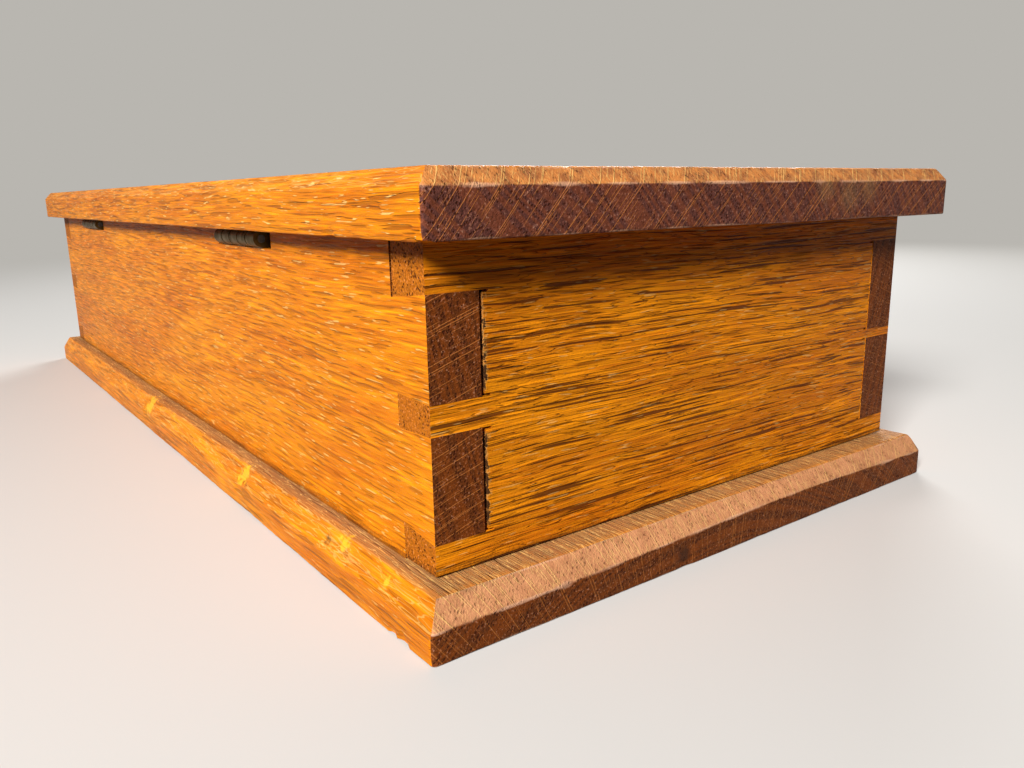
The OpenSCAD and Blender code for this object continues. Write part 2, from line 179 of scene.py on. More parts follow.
def oak(node, along, pith, seed, tone, pores, strand, lifted_and_highlit, wander, end, rubbed_and_lit=None, torn=None):
    """Stained oak, planed by hand and worn under old wax.

    Dark dashes of open pores and pale raised threads run along the grain, so the boards look
    streaked and slightly furry. The threads' pale is partly a painted highlight, and the ridges between
    the pore lines are painted lighter as highlight. Across the grain the eye sees dark, speckled wood
    with pale rays.
    """
    c = colours()
    end_name, end_rays = end
    s = sizes()
    material = bpy.data.materials.new("hand_planed_stained_oak_" + node)
    material.use_nodes = True
    tree = material.node_tree
    shader = tree.nodes["Principled BSDF"]
    low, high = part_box(node)
    middle = (low + high) / (2 * MM)
    coords = tree.nodes.new("ShaderNodeTexCoord")
    point = add(tree, "VectorMath", (coords.outputs["Object"], (1 / MM,) * 3), operation="MULTIPLY")
    apart = tree.nodes.new("ShaderNodeSeparateXYZ")
    tree.links.new(point, apart.inputs[0])
    x, y, z = apart.outputs
    length, cross = (x, y) if along == "x" else (y, x)
    cross_middle = middle.y if along == "x" else middle.x
    grain_axis = (1, 0, 0) if along == "x" else (0, 1, 0)

    # The grain strays slowly along the board
    stray_scale = (1 / 64, 1 / 30, 1 / 30) if along == "x" else (1 / 30, 1 / 44, 1 / 26)
    stray_at = add(tree, "VectorMath", (point, stray_scale, (seed, 0, 0)), operation="MULTIPLY_ADD")
    stray = add(
        tree, "TexNoise", {"Vector": stray_at, "Scale": 1.0, "Detail": 2.0, "Roughness": 0.45}, out="Color")
    strayed = tree.nodes.new("ShaderNodeSeparateXYZ")
    tree.links.new(stray, strayed.inputs[0])
    half = wander / 2
    stray_cross = add(tree, "Math", (strayed.outputs[0], wander, -half), operation="MULTIPLY_ADD")
    stray_up = add(tree, "Math", (strayed.outputs[1], wander, -half), operation="MULTIPLY_ADD")

    # Distance from the pith, and distance round it
    out_cross = add(tree, "Math", (cross, cross_middle + pith[0]), operation="SUBTRACT")
    out_cross = add(tree, "Math", (out_cross, stray_cross), operation="ADD")
    out_up = add(tree, "Math", (z, middle.z + pith[1]), operation="SUBTRACT")
    out_up = add(tree, "Math", (out_up, stray_up), operation="ADD")
    outward = add(tree, "CombineXYZ", (out_cross, out_up, 0.0))
    radial = add(tree, "VectorMath", (outward,), out="Value", operation="LENGTH")
    angle = add(tree, "Math", (out_cross, out_up), operation="ARCTAN2")
    reach = math.hypot(*pith)
    across = add(tree, "Math", (angle, reach), operation="MULTIPLY")
    grain = add(tree, "CombineXYZ", (length, radial, across))
    grain = add(tree, "VectorMath", (grain, (seed * 7.3, seed * 1.7, seed * 5.1)), operation="ADD")
    shifted = tree.nodes.new("ShaderNodeSeparateXYZ")
    tree.links.new(grain, shifted.inputs[0])
    radial, across = shifted.outputs[1], shifted.outputs[2]

    # How squarely the surface is cut across the grain
    normal = coords.outputs["Normal"]
    facing = add(tree, "VectorMath", (normal, grain_axis), out="Value", operation="DOT_PRODUCT")
    facing = add(tree, "Math", (facing,), operation="ABSOLUTE")
    end = add(tree, "MapRange", (facing, 0.4, 0.6), interpolation_type="SMOOTHSTEP")
    along_grain = add(tree, "Math", (1.0, end), operation="SUBTRACT")

    # Growth rings of uneven width: a porous band of early wood, then dense late wood
    season_at = add(tree, "Math", (radial, 0.16), operation="MULTIPLY")
    season = add(tree, "TexNoise", {"W": season_at, "Scale": 1.0, "Detail": 1.0}, noise_dimensions="1D")
    ring = add(tree, "Math", (season, 9.0, radial), operation="MULTIPLY_ADD")
    ring = add(tree, "Math", (ring, s.ring_pitch / MM), operation="DIVIDE")
    ring = add(tree, "Math", (ring,), operation="FRACT")
    ring = add(tree, "Math", (ring, 0.5), operation="SUBTRACT")
    ring = add(tree, "Math", (ring,), operation="ABSOLUTE")
    early = add(tree, "MapRange", (ring, 0.16, 0.34), interpolation_type="SMOOTHSTEP")

    # Large pores: tubes some 0.3 mm wide, dots across the grain and dashes along it. Real ones lie
    # closer together, too close to show, and are drawn at the spacing of the ones that hold stain
    pore_mm = s.pore_pitch / MM
    pore_at = add(tree, "VectorMath", (grain, (1 / 14, 1 / pore_mm, 1 / pore_mm)), operation="MULTIPLY")
    pore_cell = add(tree, "TexVoronoi", {"Vector": pore_at, "Scale": 1.0}, out="Distance")
    pore_size = add(tree, "Math", (early, 0.2, 0.2), operation="MULTIPLY_ADD")
    pore_core = add(tree, "Math", (pore_size, 0.55), operation="MULTIPLY")
    pore = add(
        tree, "MapRange", (pore_cell, pore_core, pore_size, 1.0, 0.0), interpolation_type="SMOOTHSTEP")
    pore_shown = add(tree, "Math", (end, 1 - 0.6 * pores, 0.6 * pores), operation="MULTIPLY_ADD")
    pore = add(tree, "Math", (pore, pore_shown), operation="MULTIPLY")

    # Strands along the grain: dark lines of open pores, and the pale wood between them, whose raised
    # ridges are painted lighter as a painted highlight
    strand_scale = (1 / strand[0], 1 / strand[1], 1 / strand[1])
    strand_at = add(tree, "VectorMath", (grain, strand_scale), operation="MULTIPLY")
    strand_field = add(
        tree, "TexNoise", {"Vector": strand_at, "Scale": 1.0, "Detail": 1.0, "Roughness": 0.4})
    line = add(tree, "MapRange", (strand_field, 0.6, 0.655), interpolation_type="SMOOTHSTEP")
    # Fainter, finer lines between them, where small pores run end to end
    crease_at = add(tree, "VectorMath", (grain, (1 / 40, 1 / 2.2, 1 / 2.2)), operation="MULTIPLY")
    crease = add(tree, "TexNoise", {"Vector": crease_at, "Scale": 1.0, "Detail": 3.0, "Roughness": 0.55})
    crease = add(tree, "Math", (crease, 12.0), operation="MULTIPLY")
    crease = add(tree, "Math", (crease,), operation="FRACT")
    crease = add(tree, "MapRange", (crease, 0.0, 0.16, 0.7 * pores, 0.0), interpolation_type="SMOOTHSTEP")
    line = add(tree, "Math", (line, crease), operation="MAXIMUM")
    line = add(tree, "Math", (line, along_grain), operation="MULTIPLY")
    ridge = add(tree, "MapRange", (strand_field, 0.32, 0.46, 1.0, 0.0), interpolation_type="SMOOTHSTEP")
    ridge = add(tree, "Math", (ridge, along_grain), operation="MULTIPLY")

    # Broad rays: thin sheets that run out from the pith, and finer ones between them
    ray_mm = s.ray_pitch / MM
    broad_at = add(tree, "Math", (across, 1 / ray_mm), operation="MULTIPLY")
    broad = add(tree, "TexVoronoi", {"W": broad_at, "Scale": 1.0}, out="Distance", voronoi_dimensions="1D")
    broad = add(tree, "MapRange", (broad, 0.016, 0.042, 1.0, 0.0), interpolation_type="SMOOTHSTEP")
    broad_piece_at = add(tree, "VectorMath", (grain, (1 / 9, 1 / 22, 1 / 2.6)), operation="MULTIPLY")
    broad_piece = add(tree, "TexNoise", {"Vector": broad_piece_at, "Scale": 1.0, "Detail": 2.0})
    broad_piece = add(tree, "MapRange", (broad_piece, 0.38, 0.5), interpolation_type="SMOOTHSTEP")
    broad = add(tree, "Math", (broad, broad_piece), operation="MULTIPLY")
    fine_at = add(tree, "Math", (across, 2.9 / ray_mm), operation="MULTIPLY")
    fine = add(tree, "TexVoronoi", {"W": fine_at, "Scale": 1.0}, out="Distance", voronoi_dimensions="1D")
    fine = add(tree, "MapRange", (fine, 0.04, 0.1, 0.75, 0.0), interpolation_type="SMOOTHSTEP")
    fine_piece_at = add(tree, "VectorMath", (grain, (1 / 4, 1 / 7, 1 / 0.9)), operation="MULTIPLY")
    fine_piece = add(tree, "TexNoise", {"Vector": fine_piece_at, "Scale": 1.0, "Detail": 2.0})
    fine_piece = add(tree, "MapRange", (fine_piece, 0.46, 0.58), interpolation_type="SMOOTHSTEP")
    fine = add(tree, "Math", (fine, fine_piece), operation="MULTIPLY")
    ray = add(tree, "Math", (broad, fine), operation="MAXIMUM")

    # Fibres, and pale threads where the plane lifted them, their pale partly a painted highlight
    fibre_at = add(tree, "VectorMath", (grain, (1 / 11, 1 / 0.26, 1 / 0.26)), operation="MULTIPLY")
    fibre = add(tree, "TexNoise", {"Vector": fibre_at, "Scale": 1.0, "Detail": 3.0, "Roughness": 0.6})
    thread_at = add(tree, "VectorMath", (grain, (1 / 4.5, 1 / 0.42, 1 / 0.42)), operation="MULTIPLY")
    thread = add(tree, "TexNoise", {"Vector": thread_at, "Scale": 1.0, "Detail": 1.0})
    thread = add(tree, "MapRange", (thread, 0.655, 0.7), interpolation_type="SMOOTHSTEP")
    thread = add(tree, "Math", (thread, along_grain), operation="MULTIPLY")
    thread = add(tree, "Math", (thread, lifted_and_highlit), operation="MULTIPLY")
    grit = add(tree, "TexNoise", {"Vector": point, "Scale": 2.4, "Detail": 4.0, "Roughness": 0.65})

    # Stain: slow clouds, drawn out along the grain, and quicker streaks
    cloud_at = add(tree, "VectorMath", (grain, (1 / 50, 1 / 8, 1 / 8)), operation="MULTIPLY")
    cloud = add(tree, "TexNoise", {"Vector": cloud_at, "Scale": 1.0, "Detail": 3.0, "Roughness": 0.55})
    streak_at = add(tree, "VectorMath", (grain, (1 / 12, 1 / 0.5, 1 / 0.5)), operation="MULTIPLY")
    streak = add(tree, "TexNoise", {"Vector": streak_at, "Scale": 1.0, "Detail": 2.0, "Roughness": 0.6})
    stain = add(tree, "Math", (cloud, streak), operation="ADD")
    stain = add(tree, "MapRange", (stain, 0.8, 1.2, tone - 0.3, tone + 0.4))

    colour = add(tree, "Mix", {0: stain, 6: rgba(c.golden), 7: rgba(c.russet)}, out=2, data_type="RGBA")
    # Fibres vary the tone, and the ridges between the pore lines are painted lighter, a painted highlight
    fibre_tone_and_ridge_highlight = add(tree, "MapRange", (fibre, 0.28, 0.72, 0.76, 1.12))
    fibre_tone_and_ridge_highlight = add(tree, "Math", (ridge, 0.3, fibre_tone_and_ridge_highlight), operation="MULTIPLY_ADD")
    fibre_tone_and_ridge_highlight = add(tree, "CombineColor", (fibre_tone_and_ridge_highlight, fibre_tone_and_ridge_highlight, fibre_tone_and_ridge_highlight))
    colour = add(tree, "Mix", {0: 1.0, 6: colour, 7: fibre_tone_and_ridge_highlight}, out=2, data_type="RGBA", blend_type="MULTIPLY")
    dark_line = add(tree, "Math", (line, 0.35 + 0.5 * pores), operation="MULTIPLY")
    dark_line = add(tree, "Math", (dark_line, pores ** 0.5), operation="MULTIPLY")
    colour = add(tree, "Mix", {0: dark_line, 6: colour, 7: rgba(c.pore)}, out=2, data_type="RGBA")
    # Pale threads: lifted fibres, their pale partly a painted highlight
    pale_thread_and_highlight = add(tree, "Math", (thread, 0.8), operation="MULTIPLY")
    colour = add(tree, "Mix", {0: pale_thread_and_highlight, 6: colour, 7: rgba(c.fleck)}, out=2, data_type="RGBA")

    across_colour = rgba(getattr(c, end_name))
    speckle = add(tree, "MapRange", (grit, 0.35, 0.65, 0.55, 1.5))
    speckle = add(tree, "CombineColor", (speckle, speckle, speckle))
    end_colour = add(
        tree, "Mix", {0: 1.0, 6: across_colour, 7: speckle}, out=2, data_type="RGBA", blend_type="MULTIPLY")
    late = add(tree, "MapRange", (early, 0.0, 1.0, 0.14, 0.0))
    end_colour = add(tree, "Mix", {0: late, 6: end_colour, 7: rgba(c.russet)}, out=2, data_type="RGBA")
    speck = add(tree, "MapRange", (grit, 0.6, 0.66, 0.0, 0.32))
    end_colour = add(tree, "Mix", {0: speck, 6: end_colour, 7: rgba(c.rubbed_and_lit)}, out=2, data_type="RGBA")
    ray_colour = rgba(c.end_ray)
    if rubbed_and_lit:
        # Bevels lie where hands and cloths pass, so their end grain is rubbed pale in patches. The pale is
        # laid only where a bevel faces up, so it is partly a painted highlight of the light from above, and
        # the rays there are painted paler too.
        rubbed_and_lit_name, least_rubbed_and_lit = rubbed_and_lit
        up = add(tree, "VectorMath", (normal, (0, 0, 1)), out="Value", operation="DOT_PRODUCT")
        up = add(tree, "MapRange", (up, 0.2, 0.45), interpolation_type="SMOOTHSTEP")
        patch = add(tree, "TexNoise", {"Vector": point, "Scale": 0.35, "Detail": 3.0, "Roughness": 0.6})
        patch = add(tree, "MapRange", (patch, 0.35, 0.6, least_rubbed_and_lit, 0.95))
        rubbed_and_lit_patch = add(tree, "Math", (up, patch), operation="MULTIPLY")
        ray_colour = add(tree, "Mix", {0: rubbed_and_lit_patch, 6: ray_colour, 7: rgba(c.fleck)}, out=2, data_type="RGBA")
        rubbed_and_lit_colour = rgba(getattr(c, rubbed_and_lit_name))
        end_colour = add(tree, "Mix", {0: rubbed_and_lit_patch, 6: end_colour, 7: rubbed_and_lit_colour}, out=2, data_type="RGBA")
        filled = add(tree, "Math", (rubbed_and_lit_patch, -0.75, 1.0), operation="MULTIPLY_ADD")
        filled = add(tree, "Math", (filled, along_grain), operation="MAXIMUM")
        pore = add(tree, "Math", (pore, filled), operation="MULTIPLY")
    ray_shown = add(tree, "Math", (ray, end_rays), operation="MULTIPLY")
    end_colour = add(tree, "Mix", {0: ray_shown, 6: end_colour, 7: ray_colour}, out=2, data_type="RGBA")
    colour = add(tree, "Mix", {0: end, 6: colour, 7: end_colour}, out=2, data_type="RGBA")
    dark_pore = add(tree, "Math", (pore, 0.85), operation="MULTIPLY")
    colour = add(tree, "Mix", {0: dark_pore, 6: colour, 7: rgba(c.pore)}, out=2, data_type="RGBA")

    rough = add(tree, "MapRange", (fibre, 0.3, 0.7, 0.36, 0.52))
    rough = add(tree, "Math", (end, 0.1, rough), operation="MULTIPLY_ADD")
    rough = add(tree, "Math", (pore, 0.25, rough), operation="MULTIPLY_ADD")

    if rubbed_and_lit:
        # Marks carried by the lid and base: rubbed arrises with a painted highlight, dust, bare spots and
        # dark spots
        arris = add(tree, "Attribute", out="Fac", attribute_name="rubbed_and_lit")
        dusty = add(tree, "Attribute", out="Fac", attribute_name="dusty")
        bare = add(tree, "Attribute", out="Fac", attribute_name="bare")
        spot = add(tree, "Attribute", out="Fac", attribute_name="spot")
        # Rubbed arrises on end grain are painted pale: partly wear, partly a painted highlight along the
        # edge
        rubbed_and_lit_edge = add(tree, "Math", (grit, 0.5, arris), operation="MULTIPLY_ADD")
        rubbed_and_lit_edge = add(tree, "MapRange", (rubbed_and_lit_edge, 0.5, 1.1, 0.0, 0.6), interpolation_type="SMOOTHSTEP")
        rubbed_and_lit_edge = add(tree, "Math", (rubbed_and_lit_edge, end), operation="MULTIPLY")
        colour = add(tree, "Mix", {0: rubbed_and_lit_edge, 6: colour, 7: rgba(c.rubbed_and_lit)}, out=2, data_type="RGBA")
        # Hairline scratches three ways, thinner than a pixel in life and drawn 0.12 mm wide
        hair = None
        for turn, step in ((0.5, 0.0), (-0.7, 9.0), (1.4, 17.0)):
            shift = (step, step, 0)
            hair_at = add(
                tree, "Mapping",
                {"Vector": point, "Rotation": (0, 0, turn), "Scale": (0.06, 1.3, 0.4), "Location": shift})
            one = add(tree, "TexNoise", {"Vector": hair_at, "Scale": 1.0, "Detail": 1.0})
            one = add(tree, "Math", (one, 0.5), operation="SUBTRACT")
            one = add(tree, "Math", (one,), operation="ABSOLUTE")
            one = add(tree, "MapRange", (one, 0.004, 0.012, 1.0, 0.0), interpolation_type="SMOOTHSTEP")
            hair = one if hair is None else add(tree, "Math", (hair, one), operation="MAXIMUM")
        dusty_at = add(tree, "MapRange", (grit, 0.3, 0.62, 0.7, 1.0))
        dusty = add(tree, "Math", (dusty, dusty_at), operation="MULTIPLY")
        pale_hair = add(tree, "Math", (hair, 0.6), operation="MULTIPLY")
        grey = add(tree, "Mix", {0: pale_hair, 6: rgba(c.dust), 7: rgba(c.fleck)}, out=2, data_type="RGBA")
        colour = add(tree, "Mix", {0: dusty, 6: colour, 7: grey}, out=2, data_type="RGBA")
        scratch = add(tree, "Math", (hair, 0.3), operation="MULTIPLY")
        scratch = add(tree, "Math", (scratch, up), operation="MULTIPLY")
        colour = add(tree, "Mix", {0: scratch, 6: colour, 7: rgba(c.fleck)}, out=2, data_type="RGBA")
        flake = add(tree, "TexNoise", {"Vector": point, "Scale": 0.7, "Detail": 3.0, "Roughness": 0.55})
        bare_edge = add(tree, "Math", (flake, 1.6, bare), operation="MULTIPLY_ADD")
        bare_edge = add(tree, "MapRange", (bare_edge, 1.15, 1.5, 0.0, 0.8), interpolation_type="SMOOTHSTEP")
        bare_edge = add(tree, "Math", (bare_edge, along_grain), operation="MULTIPLY")
        is_marked = add(tree, "MapRange", (bare, 0.02, 0.2))
        bare_edge = add(tree, "Math", (bare_edge, is_marked), operation="MULTIPLY")
        colour = add(tree, "Mix", {0: bare_edge, 6: colour, 7: rgba(c.bare)}, out=2, data_type="RGBA")
        spot_edge = add(tree, "Math", (grit, 0.7, spot), operation="MULTIPLY_ADD")
        spot_edge = add(tree, "MapRange", (spot_edge, 0.7, 1.1, 0.0, 0.85), interpolation_type="SMOOTHSTEP")
        colour = add(tree, "Mix", {0: spot_edge, 6: colour, 7: rgba(c.grime_and_shade)}, out=2, data_type="RGBA")
        rough = add(tree, "Math", (dusty, 0.3, rough), operation="MULTIPLY_ADD")
    else:
        # Darker towards the foot of each wall, just above the base
        creep = add(tree, "Math", (grit, 3.0, z), operation="MULTIPLY_ADD")
        foot = add(
            tree, "MapRange", (creep, BASE_TOP + 1.2, BASE_TOP + 3.4, 0.75, 0.0),
            interpolation_type="SMOOTHSTEP")
        colour = add(tree, "Mix", {0: foot, 6: colour, 7: rgba(c.grime_and_shade)}, out=2, data_type="RGBA")

    if torn:
        # Ragged fibres past the two sockets' feet, which leave the pin between them whole. The gaps among
        # the fibres are painted dark as painted shade.
        beside = add(tree, "Math", (y, torn), operation="SUBTRACT")
        beside = add(tree, "Math", (beside,), operation="ABSOLUTE")
        ragged = add(tree, "TexNoise", {"Vector": point, "Scale": 0.9, "Detail": 4.0, "Roughness": 0.6})
        depth = add(tree, "MapRange", (ragged, 0.42, 0.66, -0.15, 0.75))
        gap = add(tree, "Math", (depth, beside), operation="SUBTRACT")
        from_pin = add(tree, "Math", (z, PIN_MIDDLE), operation="SUBTRACT")
        from_pin = add(tree, "Math", (from_pin,), operation="ABSOLUTE")
        past_pin = add(tree, "MapRange", (from_pin, 3.2, 3.9))
        within = add(tree, "MapRange", (from_pin, 18.4, 19.4, 1.0, 0.0))
        spread = add(tree, "Math", (past_pin, within), operation="MULTIPLY")
        pale = add(tree, "MapRange", (gap, -0.3, -0.05, 0.0, 0.3))
        pale = add(tree, "Math", (pale, spread), operation="MULTIPLY")
        colour = add(tree, "Mix", {0: pale, 6: colour, 7: rgba(c.fleck)}, out=2, data_type="RGBA")
        # Painted shade in the torn gaps
        gap_shade = add(tree, "MapRange", (gap, 0.0, 0.12, 0.0, 0.95))
        gap_shade = add(tree, "Math", (gap_shade, spread), operation="MULTIPLY")
        colour = add(tree, "Mix", {0: gap_shade, 6: colour, 7: rgba(c.grime_and_shade)}, out=2, data_type="RGBA")

    tree.links.new(colour, shader.inputs["Base Color"])
    tree.links.new(rough, shader.inputs["Roughness"])
    # Old wax has wax's IOR, with most of its shine worn off
    shader.inputs["IOR"].default_value = 1.45
    shader.inputs["Specular IOR Level"].default_value = 0.12

    # Relief: pores and lines sink in, and fibres, threads and rays stand up
    dip = add(tree, "Math", (pore, -1.0), operation="MULTIPLY")
    dip = add(tree, "Math", (line, -0.6 - 0.8 * pores, dip), operation="MULTIPLY_ADD")
    dip = add(tree, "Math", (ridge, 0.4 * pores, dip), operation="MULTIPLY_ADD")
    dip = add(tree, "Math", (fibre, 0.6, dip), operation="MULTIPLY_ADD")
    dip = add(tree, "Math", (thread, 0.6, dip), operation="MULTIPLY_ADD")
    dip = add(tree, "Math", (streak, 0.8, dip), operation="MULTIPLY_ADD")
    end_relief = add(tree, "Math", (ray, end), operation="MULTIPLY")
    dip = add(tree, "Math", (end_relief, 0.3, dip), operation="MULTIPLY_ADD")
    dip = add(tree, "Math", (grit, 0.5, dip), operation="MULTIPLY_ADD")
    bump = add(tree, "Bump", {"Height": dip, "Strength": 1.0, "Distance": 0.18 * MM})
    tree.links.new(bump, shader.inputs["Normal"])
    return material


def metal(name, colour, roughness):
    """Metal dulled by age: darker tarnish in patches and fine scratches, which blur its highlights."""
    material = bpy.data.materials.new(name)
    material.use_nodes = True
    tree = material.node_tree
    shader = tree.nodes["Principled BSDF"]
    coords = tree.nodes.new("ShaderNodeTexCoord")
    point = add(tree, "VectorMath", (coords.outputs["Object"], (1 / MM,) * 3), operation="MULTIPLY")
    patch = add(tree, "TexNoise", {"Vector": point, "Scale": 0.6, "Detail": 4.0})
    amount = add(tree, "MapRange", (patch, 0.35, 0.65, 0.0, 0.7))
    dark = tuple(0.35 * x for x in colour[:3])
    tinted = add(tree, "Mix", {0: amount, 6: rgba(colour), 7: rgba(dark)}, out=2, data_type="RGBA")
    tree.links.new(tinted, shader.inputs["Base Color"])
    shader.inputs["Metallic"].default_value = 1.0
    rough = add(tree, "MapRange", (patch, 0.3, 0.7, roughness, roughness + 0.2))
    tree.links.new(rough, shader.inputs["Roughness"])
    scratches = add(tree, "TexNoise", {"Vector": point, "Scale": 6.0, "Detail": 3.0})
    bump = add(tree, "Bump", {"Height": scratches, "Strength": 0.5, "Distance": 0.03 * MM})
    tree.links.new(bump, shader.inputs["Normal"])
    return material


def finish_node(node, material, arris=0.0, segments=3):
    """Give a carried-over node its material and, where handling has worn it, a rounded arris."""
    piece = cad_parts[node]
    piece.data.materials.clear()
    piece.data.materials.append(material)
    if arris:
        weld = piece.modifiers.new("weld", "WELD")
        weld.merge_threshold = 0.00001
        bevel = piece.modifiers.new("worn_arris", "BEVEL")
        bevel.width = arris
        bevel.segments = segments
        bevel.limit_method = "ANGLE"
        bevel.angle_limit = math.radians(28)
        bevel.use_clamp_overlap = True
        bevel.harden_normals = False
        normals = piece.modifiers.new("flat_faces", "WEIGHTED_NORMAL")
        normals.keep_sharp = True


# Worn boards. A board's rim is lofted from a profile of its bevel, carried round the outline and
# worn back by a different amount at each place. Lengths in this part are in millimetres.


def rim_profile(thick, bevel_width, bevel_drop, wear, inner_top, inner_bottom):
    """The rim's profile, from the top's inner line to the underside's, as (inset, height, rubbed),
    the last being how pale the arris is painted there, by rubbing and as a painted highlight.
    """
    upper = Vector((bevel_width, thick))
    lower = Vector((0, thick - bevel_drop))
    foot = Vector((0, 0))
    slope = (lower - upper).normalized()
    rounds = (
        (upper, upper + Vector((wear[0], 0)), upper + slope * wear[0]),
        (lower, lower - slope * wear[1], lower - Vector((0, wear[1]))),
        (foot, foot + Vector((0, wear[2])), foot + Vector((wear[2], 0))),
    )
    points = [(inset, thick, 0.0) for inset in inner_top]
    for i, (corner, start, finish) in enumerate(rounds):
        for j, rubbed_and_lit in enumerate((0.3, 0.8, 1.0, 0.8, 0.3)):
            t = j / 4
            p = (1 - t) ** 2 * start + 2 * t * (1 - t) * corner + t * t * finish
            points.append((p.x, p.y, rubbed_and_lit))
        if i < 2:
            for t in (0.2, 0.5, 0.8):
                p = finish.lerp(rounds[i + 1][1], t)
                points.append((p.x, p.y, 0.0))
    points += [(inset, 0.0, 0.0) for inset in inner_bottom]
    return points


# Side 0 is the right end, 1 the back, 2 the left end and 3 the front. Corner n comes before side n.
SIDE_NORMALS = (Vector((1, 0)), Vector((0, 1)), Vector((-1, 0)), Vector((0, -1)))
SIDE_RUNS = (Vector((0, 1)), Vector((-1, 0)), Vector((0, -1)), Vector((1, 0)))
# The lid's and the base's corners, of which the back left one is the sharpest
CORNER_RADII = (2.0, 1.8, 0.9, 2.0)


def rim_places(halves, radii):
    """Places round a rounded rectangle: (False, side, distance along it) or (True, corner, turn).

    They lie some 1 mm apart, and 0.5 mm apart in the last 4 mm before each corner.
    """
    fine, near = 0.5, 4
    few = round(near / fine)
    places = []
    for side in range(4):
        run = halves[(side + 1) % 4]
        start, stop = -run + radii[side], run - radii[(side + 1) % 4]
        plain = stop - start - 2 * near
        steps = round(plain)
        spots = [start + i * fine for i in range(few)]
        spots += [start + near + i * plain / steps for i in range(steps + 1)]
        spots += [stop - near + fine + i * fine for i in range(few)]
        places += [(False, side, spot) for spot in spots]
        places += [(True, (side + 1) % 4, turn) for turn in (0.2, 0.4, 0.6, 0.8)]
    return places


def on_rim(place, inset, halves, radii):
    """The point of a place when its line is moved inwards, with mitres where the lines meet."""
    is_corner, index, where = place
    if is_corner:
        before, after = SIDE_NORMALS[index - 1], SIDE_NORMALS[index]
        keep = max(radii[index], inset)
        centre = before * (halves[index - 1] - keep) + after * (halves[index] - keep)
        angle = where * math.pi / 2
        return centre + (before * math.cos(angle) + after * math.sin(angle)) * (keep - inset)
    reach = halves[(index + 1) % 4]
    low = -reach + max(radii[index], inset)
    high = reach - max(radii[(index + 1) % 4], inset)
    return SIDE_NORMALS[index] * (halves[index] - inset) + SIDE_RUNS[index] * min(max(where, low), high)


